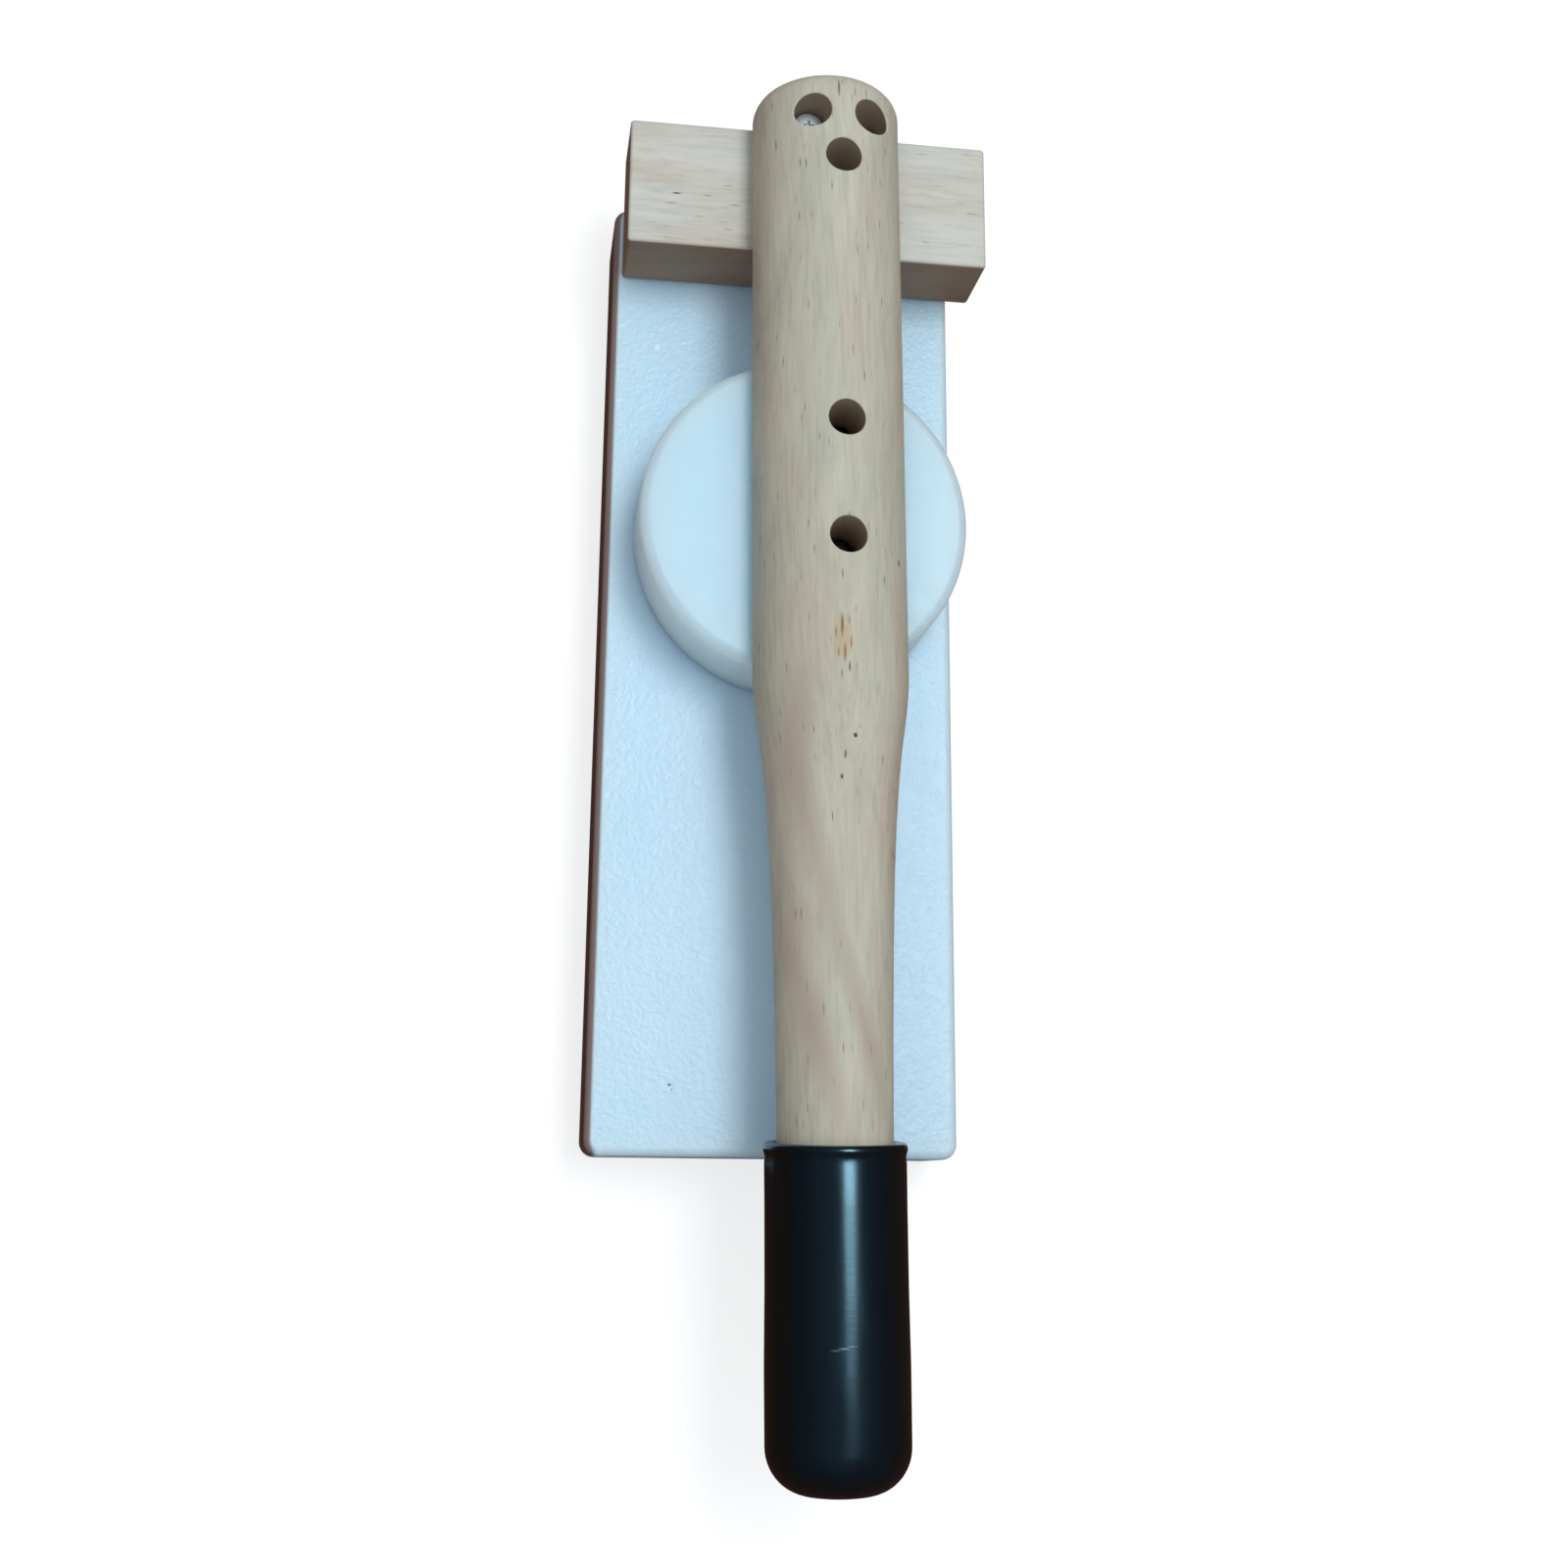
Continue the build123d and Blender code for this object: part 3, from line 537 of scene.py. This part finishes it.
def screw_tree():
    """A pan-headed cross-slot screw: z is 0 at the head's seat, the head above and the shank below.
    One lathed skin, whose shank has a helical thread and ends in a point or a short bevel."""
    tree, given = new_tree("cross_slot_screw", [
        "Head radius", "Head height", "Shank radius", "Shank length", "Point length",
        "Thread pitch", "Thread depth", "Slot length", "Slot width", "Slot depth", "Blunt"])
    maths = "ShaderNodeMath"
    turns = put(tree, maths, {0: given["Shank length"], 1: given["Thread pitch"]},
                operation="DIVIDE")
    shank_rows = put(tree, maths, {0: turns, 1: 6.0, 2: 4.0}, operation="MULTIPLY_ADD")
    shank_rows = put(tree, maths, {0: shank_rows}, operation="CEIL")
    rows = put(tree, maths, {0: shank_rows, 1: float(HEAD_ROWS)}, operation="ADD")
    sheet = put(tree, "GeometryNodeMeshGrid", {
        "Size X": 1.0, "Size Y": 1.0, "Vertices X": rows, "Vertices Y": COLUMNS})
    index = put(tree, "GeometryNodeInputIndex")
    row = put(tree, maths, {0: index, 1: float(COLUMNS)}, operation="DIVIDE")
    row = put(tree, maths, {0: row, 1: 0.001}, operation="ADD")
    row = put(tree, maths, {0: row}, operation="FLOOR")
    column = put(tree, maths, {0: index, 1: float(COLUMNS)}, operation="MODULO")
    angle = put(tree, maths, {0: column, 1: 2 * math.pi / (COLUMNS - 1)}, operation="MULTIPLY")
    # head profile, from the middle of the crown out and down to the seat
    head_share = put(tree, maths, {0: row, 1: float(HEAD_ROWS - 1)}, operation="DIVIDE")
    head_out = put(tree, "ShaderNodeFloatCurve", {"Value": head_share}, curve=[
        (0.0, 0.0), (0.18, 0.45), (0.36, 0.72), (0.55, 0.93), (0.73, 1.0), (0.91, 1.0),
        (1.0, 0.55)])
    head_up = put(tree, "ShaderNodeFloatCurve", {"Value": head_share}, curve=[
        (0.0, 1.0), (0.18, 0.985), (0.36, 0.93), (0.55, 0.76), (0.73, 0.42), (0.91, 0.0),
        (1.0, 0.0)])
    head_out = put(tree, maths, {0: head_out, 1: given["Head radius"]}, operation="MULTIPLY")
    head_up = put(tree, maths, {0: head_up, 1: given["Head height"]}, operation="MULTIPLY")
    # shank, from the seat down; its last row closes the end
    shank_row = put(tree, maths, {0: row, 1: float(HEAD_ROWS)}, operation="SUBTRACT")
    last_row = put(tree, maths, {0: shank_rows, 1: 2.0}, operation="SUBTRACT")
    share = put(tree, maths, {0: shank_row, 1: last_row}, operation="DIVIDE")
    share = put(tree, maths, {0: share, 1: 1.0}, operation="MINIMUM")
    down = put(tree, maths, {0: share, 1: given["Shank length"]}, operation="MULTIPLY")
    spiral = put(tree, maths, {0: down, 1: given["Thread pitch"]}, operation="DIVIDE")
    around = put(tree, maths, {0: column, 1: float(COLUMNS - 1)}, operation="DIVIDE")
    phase = put(tree, maths, {0: spiral, 1: around}, operation="SUBTRACT")
    phase = put(tree, maths, {0: phase}, operation="FRACT")
    valley = put(tree, maths, {0: phase, 1: 0.5}, operation="SUBTRACT")
    valley = put(tree, maths, {0: valley}, operation="ABSOLUTE")
    valley = put(tree, maths, {0: valley, 1: 2.0}, operation="MULTIPLY")
    cut = put(tree, maths, {0: valley, 1: given["Thread depth"]}, operation="MULTIPLY")
    shank_out = put(tree, maths, {0: given["Shank radius"], 1: cut}, operation="SUBTRACT")
    left = put(tree, maths, {0: given["Shank length"], 1: down}, operation="SUBTRACT")
    taper = put(tree, maths, {0: left, 1: given["Point length"]}, operation="DIVIDE")
    taper = put(tree, maths, {0: taper, 1: given["Blunt"]}, operation="MAXIMUM")
    taper = put(tree, maths, {0: taper, 1: 1.0}, operation="MINIMUM")
    shank_out = put(tree, maths, {0: shank_out, 1: taper}, operation="MULTIPLY")
    closing = put(tree, maths, {0: shank_row, 1: last_row}, operation="GREATER_THAN")
    open_end = put(tree, maths, {0: 1.0, 1: closing}, operation="SUBTRACT")
    shank_out = put(tree, maths, {0: shank_out, 1: open_end}, operation="MULTIPLY")
    shank_up = put(tree, maths, {0: down, 1: -1.0}, operation="MULTIPLY")
    on_shank = put(tree, maths, {0: row, 1: HEAD_ROWS - 0.5}, operation="GREATER_THAN")
    out = put(tree, "ShaderNodeMix", {0: on_shank, 2: head_out, 3: shank_out})
    up = put(tree, "ShaderNodeMix", {0: on_shank, 2: head_up, 3: shank_up})
    side = put(tree, maths, {0: angle}, operation="COSINE")
    side = put(tree, maths, {0: side, 1: out}, operation="MULTIPLY")
    ahead = put(tree, maths, {0: angle}, operation="SINE")
    ahead = put(tree, maths, {0: ahead, 1: out}, operation="MULTIPLY")
    place = put(tree, "ShaderNodeCombineXYZ", {0: side, 1: ahead, 2: up})
    skin = put(tree, "GeometryNodeSetPosition", {"Geometry": sheet, "Position": place})
    skin = put(tree, "GeometryNodeMergeByDistance", {"Geometry": skin, "Distance": 0.002 * MM})
    # cross slot: two wedge-shaped bars that narrow downwards
    slots = []
    for length, width in (("Slot length", "Slot width"), ("Slot width", "Slot length")):
        size = put(tree, "ShaderNodeCombineXYZ", {
            0: given[length], 1: given[width],
            2: put(tree, maths, {0: given["Slot depth"], 1: 2.0}, operation="MULTIPLY")})
        bar = put(tree, "GeometryNodeMeshCube", {"Size": size})
        lift = put(tree, "ShaderNodeCombineXYZ", {2: given["Head height"]})
        spot_now = put(tree, "GeometryNodeInputPosition")
        low = put(tree, maths, {
            0: put(tree, "ShaderNodeSeparateXYZ", {0: spot_now}, out=2), 1: 0.0},
            operation="LESS_THAN")
        squeeze = put(tree, "ShaderNodeMix", {0: low, 2: 1.0, 3: 0.55})
        narrowed = put(tree, "ShaderNodeVectorMath", {
            0: spot_now, 1: put(tree, "ShaderNodeCombineXYZ", {0: squeeze, 1: squeeze, 2: 1.0})},
            operation="MULTIPLY")
        slots.append(put(tree, "GeometryNodeSetPosition", {
            "Geometry": bar, "Position": narrowed, "Offset": lift}))
    for bar in slots:
        skin = put(tree, "GeometryNodeMeshBoolean", {0: skin, 1: bar},
                   operation="DIFFERENCE", solver="EXACT")
    close_tree(tree, given, skin)
    return tree


def nut_tree():
    """A hexagon nut standing on z = 0, with bevelled corners and a through hole."""
    tree, given = new_tree("hexagon_nut", ["Across flats", "Height", "Hole radius"])
    maths = "ShaderNodeMath"
    corner = put(tree, maths, {0: given["Across flats"], 1: 0.5 / math.cos(math.pi / 6)},
                 operation="MULTIPLY")
    half = put(tree, maths, {0: given["Height"], 1: 0.5}, operation="MULTIPLY")
    prism = put(tree, "GeometryNodeMeshCylinder", {
        "Vertices": 6, "Radius": corner, "Depth": given["Height"]})
    barrel = put(tree, "GeometryNodeMeshCylinder", {
        "Vertices": 48, "Side Segments": 6, "Radius": corner, "Depth": given["Height"]})
    place = put(tree, "GeometryNodeInputPosition")
    height = put(tree, maths, {0: put(tree, "ShaderNodeSeparateXYZ", {0: place}, out=2)},
                 operation="ABSOLUTE")
    share = put(tree, maths, {0: height, 1: half}, operation="DIVIDE")
    squeeze = put(tree, "ShaderNodeMapRange", {0: share, 1: 0.6, 2: 1.0, 3: 1.0, 4: 0.86})
    narrowed = put(tree, "ShaderNodeVectorMath", {
        0: place, 1: put(tree, "ShaderNodeCombineXYZ", {0: squeeze, 1: squeeze, 2: 1.0})},
        operation="MULTIPLY")
    barrel = put(tree, "GeometryNodeSetPosition", {"Geometry": barrel, "Position": narrowed})
    body = put(tree, "GeometryNodeMeshBoolean", {1: prism}, operation="INTERSECT", solver="EXACT")
    tree.links.new(barrel, body.node.inputs[1])
    hole = put(tree, "GeometryNodeMeshCylinder", {
        "Vertices": 32, "Radius": given["Hole radius"],
        "Depth": put(tree, maths, {0: given["Height"], 1: 1.5}, operation="MULTIPLY")})
    body = put(tree, "GeometryNodeMeshBoolean", {0: body, 1: hole},
               operation="DIFFERENCE", solver="EXACT")
    raised = put(tree, "GeometryNodeSetPosition", {
        "Geometry": body, "Offset": put(tree, "ShaderNodeCombineXYZ", {2: half})})
    close_tree(tree, given, raised)
    return tree


def grow(tree, places, sizes, outward, finish):
    """Runs a tree on points given in mm with sizes given in mm, and gives the plain mesh."""
    points = bpy.data.meshes.new("places")
    points.from_pydata([tuple(p * MM) for p in places], [], [])
    carrier = bpy.data.objects.new("places", points)
    bpy.context.scene.collection.objects.link(carrier)
    modifier = carrier.modifiers.new("fixings", "NODES")
    modifier.node_group = tree
    keys = {item.name: item.identifier for item in tree.interface.items_tree
            if item.item_type == "SOCKET" and item.in_out == "INPUT"}
    for size, value in sizes.items():
        modifier[keys[size]] = value if size == "Blunt" else value * MM
    modifier[keys["Outward"]] = outward
    modifier[keys["Finish"]] = finish
    evaluated = carrier.evaluated_get(bpy.context.evaluated_depsgraph_get())
    mesh = bpy.data.meshes.new_from_object(evaluated)
    carrier.modifiers.clear()
    bpy.data.objects.remove(carrier)
    bpy.data.meshes.remove(points)
    return mesh


def fixing_set(name, meshes, finish, body, node):
    """Joins meshes into one piece that stands for a node."""
    builder = bmesh.new()
    for mesh in meshes:
        builder.from_mesh(mesh)
        bpy.data.meshes.remove(mesh)
    bmesh.ops.recalc_face_normals(builder, faces=builder.faces)
    joined = bpy.data.meshes.new(name)
    builder.to_mesh(joined)
    builder.free()
    joined.materials.append(finish)
    smooth_by_angle(joined, 32)
    piece = bpy.data.objects.new(name, joined)
    bpy.context.scene.collection.objects.link(piece)
    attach(piece, body)
    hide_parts(node)


BLOCK_SCREW_MIDDLE = 2.0
BLOCK_SCREW_STEP = 29.0
BLOCK_SCREW_Y = 137.5
BLOCK_SCREW_SEAT = 8.0
LEAF_SCREW_Y = 168.5

screw = screw_tree()
nut = nut_tree()
UP, DOWN, BACK = (0.0, 0.0, 1.0), (0.0, 0.0, -1.0), (0.0, 1.0, 0.0)
cross_slot = {"Slot length": 4.4, "Slot width": 1.1, "Slot depth": 1.7}
bolt_head = {"Head radius": 4.75, "Head height": 3.4, **cross_slot}

block_screw_places = [Vector((BLOCK_SCREW_MIDDLE + BLOCK_SCREW_STEP * (i - 1.5),
                              BLOCK_SCREW_Y, BLOCK_SCREW_SEAT)) for i in range(4)]
fixing_set("block_screw_set", [grow(screw, block_screw_places, {
    "Head radius": 4.6, "Head height": 3.0, "Shank radius": 2.25, "Shank length": 38.0,
    "Point length": 5.0, "Thread pitch": 1.9, "Thread depth": 0.6, "Blunt": 0.0, **cross_slot,
}, DOWN, zinc)], zinc, "base", "block_screws")

leaf_screw_places = [Vector((HINGE_X + side, LEAF_SCREW_Y, height))
                     for side, height in ((-13.0, 43.5), (13.0, 43.5), (-6.0, 36.5), (6.0, 36.5))]
fixing_set("leaf_screw_set", [grow(screw, leaf_screw_places, {
    "Head radius": 3.6, "Head height": 2.2, "Shank radius": 1.75, "Shank length": 16.0,
    "Point length": 4.0, "Thread pitch": 1.4, "Thread depth": 0.45, "Blunt": 0.0,
    "Slot length": 3.6, "Slot width": 0.9, "Slot depth": 1.3,
}, BACK, zinc)], zinc, "base", "lower_leaf_screws")

hinge_bolt_meshes = [grow(screw, [on_handle(forward, right, seat)], {
    **bolt_head, "Shank radius": 2.5, "Shank length": seat - BOLT_END, "Point length": 2.4,
    "Thread pitch": 0.8, "Thread depth": 0.45, "Blunt": 0.75,
}, UP, zinc) for forward, right, seat in bolt_spots]
fixing_set("hinge_bolt_set", hinge_bolt_meshes, zinc, "lever", "hinge_bolts")

fixing_set("disc_screw_set", [grow(screw, [on_handle(*place) for place in disc_screw_spots], {
    **bolt_head, "Shank radius": 2.5, "Shank length": BOLT_SEAT - DISC_SCREW_END,
    "Point length": 5.0, "Thread pitch": 2.1, "Thread depth": 0.7, "Blunt": 0.0,
}, UP, black_steel)], black_steel, "lever", "disc_screws")

nut_places = [on_handle(forward, right, NUT_BOTTOM) for forward, right, seat in bolt_spots]
fixing_set("hinge_nut_set", [grow(nut, nut_places, {
    "Across flats": 8.0, "Height": 4.0, "Hole radius": 2.5,
}, UP, zinc)], zinc, "lever", "hinge_nuts")


# ---------- floor, light and camera ----------

FLOOR_HALF_WIDTH = 6.0
FLOOR_DROP = 0.0002
UNDER_BOARD = 0.001

floor_mesh = bpy.data.meshes.new("studio_floor")
floor_builder = bmesh.new()
bmesh.ops.create_grid(floor_builder, x_segments=1, y_segments=1, size=FLOOR_HALF_WIDTH)
# a hair below the board, so that the two faces don't flicker through each other
bmesh.ops.translate(floor_builder, verts=floor_builder.verts, vec=(0.0, 0.0, -FLOOR_DROP))
floor_builder.to_mesh(floor_mesh)
floor_builder.free()
floor = bpy.data.objects.new("studio_floor", floor_mesh)
bpy.context.scene.collection.objects.link(floor)

# Camera rays see a white floor with the press's shadow on it. The light that it throws back onto
# the press is a brown table's, and mirrored rays see that table darker. They don't see the white.
floor_material = bpy.data.materials.new("pale_floor")
floor_material.use_nodes = True
tree = floor_material.node_tree
tree.nodes.clear()
glossy_ray = put(tree, "ShaderNodeLightPath", out="Is Glossy Ray")
table = put(tree, "ShaderNodeMix", {
    0: glossy_ray, 6: linear("#8F6553"), 7: linear("#4A2E24")}, out=2, data_type="RGBA")
bounce = put(tree, "ShaderNodeBsdfDiffuse", {"Color": table})
glow = put(tree, "ShaderNodeEmission", {"Color": grey(1.0), "Strength": 0.70})
sheet = put(tree, "ShaderNodeBsdfDiffuse", {"Color": grey(0.38)})
shown = put(tree, "ShaderNodeAddShader", {0: glow, 1: sheet})
camera_ray = put(tree, "ShaderNodeLightPath", out="Is Camera Ray")
surface = put(tree, "ShaderNodeMixShader", {0: camera_ray, 1: bounce, 2: shown})
# From below the floor is open, also to the light that reaches the board's underside, so that the
# underside can be looked at.
beneath = put(tree, "ShaderNodeNewGeometry", out="Backfacing")
way = put(tree, "ShaderNodeLightPath", out="Ray Length")
from_board = put(tree, "ShaderNodeMath", {0: way, 1: UNDER_BOARD}, operation="LESS_THAN")
opened = put(tree, "ShaderNodeMath", {0: beneath, 1: from_board}, operation="MAXIMUM")
surface = put(tree, "ShaderNodeMixShader", {
    0: opened, 1: surface, 2: put(tree, "ShaderNodeBsdfTransparent")})
put(tree, "ShaderNodeOutputMaterial", {"Surface": surface})
floor_mesh.materials.append(floor_material)

# The room: a pale ceiling, brown towards the horizon, grey from below for the underside, and a
# cool glow from the front. Mirrored rays meet a much darker room, because the black grip mirrors
# almost nothing in the photo. Only camera rays see the white backdrop.
world = bpy.data.worlds.new("soft_room")
bpy.context.scene.world = world
world.use_nodes = True
tree = world.node_tree
tree.nodes.clear()
direction = put(tree, "ShaderNodeTexCoord", out="Generated")
toward = put(tree, "ShaderNodeVectorMath", {
    0: direction, 1: Vector((-0.03, 0.20, 0.97)).normalized()[:]}, out="Value",
    operation="DOT_PRODUCT")
share = put(tree, "ShaderNodeMath", {0: toward, 1: 0.5, 2: 0.5}, operation="MULTIPLY_ADD")
level = put(tree, "ShaderNodeValToRGB", {"Fac": share}, stops=[
    (0.22, grey(0.55)), (0.38, (0.10, 0.06, 0.045, 1.0)), (0.70, (0.24, 0.215, 0.20, 1.0)),
    (1.0, (0.98, 1.01, 1.04, 1.0))])
ahead = put(tree, "ShaderNodeVectorMath", {0: direction, 1: (0.0, -0.92, 0.39)}, out="Value",
            operation="DOT_PRODUCT")
front = put(tree, "ShaderNodeValToRGB", {"Fac": ahead}, stops=[
    (0.45, grey(0.0)), (1.0, (0.31, 0.43, 0.53, 1.0))])
level = put(tree, "ShaderNodeMix", {0: 1.0, 6: level, 7: front}, out=2, data_type="RGBA",
            blend_type="ADD")
room = put(tree, "ShaderNodeBackground", {"Color": level, "Strength": 1.0})
mirrored = put(tree, "ShaderNodeValToRGB", {"Fac": share}, stops=[
    (0.35, (0.05, 0.028, 0.02, 1.0)), (0.70, (0.03, 0.036, 0.045, 1.0)),
    (1.0, (0.06, 0.09, 0.13, 1.0))])
dim_room = put(tree, "ShaderNodeBackground", {"Color": mirrored, "Strength": 1.0})
backdrop = put(tree, "ShaderNodeBackground", {"Color": grey(1.0), "Strength": 1.0})
glossy_ray = put(tree, "ShaderNodeLightPath", out="Is Glossy Ray")
lit = put(tree, "ShaderNodeMixShader", {0: glossy_ray, 1: room, 2: dim_room})
camera_ray = put(tree, "ShaderNodeLightPath", out="Is Camera Ray")
shown = put(tree, "ShaderNodeMixShader", {0: camera_ray, 1: lit, 2: backdrop})
put(tree, "ShaderNodeOutputWorld", {"Surface": shown})


def area_light(name, place, aim, size, size_y, power, colour):
    """A rectangular lamp that faces aim, with its long side along Y."""
    data = bpy.data.lights.new(name, "AREA")
    data.shape = "RECTANGLE"
    data.size = size
    data.size_y = size_y
    data.energy = power
    data.color = colour
    lamp = bpy.data.objects.new(name, data)
    lamp.location = place
    back = (Vector(place) - Vector(aim)).normalized()
    along = (Vector((0.0, 1.0, 0.0)) - back * back.y).normalized()
    lamp.rotation_euler = Matrix((along.cross(back), along, back)).transposed().to_euler()
    bpy.context.scene.collection.objects.link(lamp)


area_light("overhead_window", place=(0.37, 0.28, 1.7), aim=(0.0, 0.0, 0.03), size=0.50,
           size_y=1.02, power=13.8, colour=(0.90, 0.97, 1.0))

# Camera fitted to the photo's edges
camera_data = bpy.data.cameras.new("camera")
camera_data.sensor_width = 36.0
camera_data.lens = 43.852
camera_data.shift_x = 0.0023
camera_data.shift_y = -0.0614
camera_data.clip_start = 0.01
camera = bpy.data.objects.new("camera", camera_data)
camera.location = (-0.08086, -0.15804, 0.59472)
camera.rotation_euler = Euler(tuple(math.radians(a) for a in (14.5635, -8.3677, 0.5377)), "XYZ")
bpy.context.scene.collection.objects.link(camera)
bpy.context.scene.camera = camera
bpy.context.scene.view_settings.view_transform = "Standard"
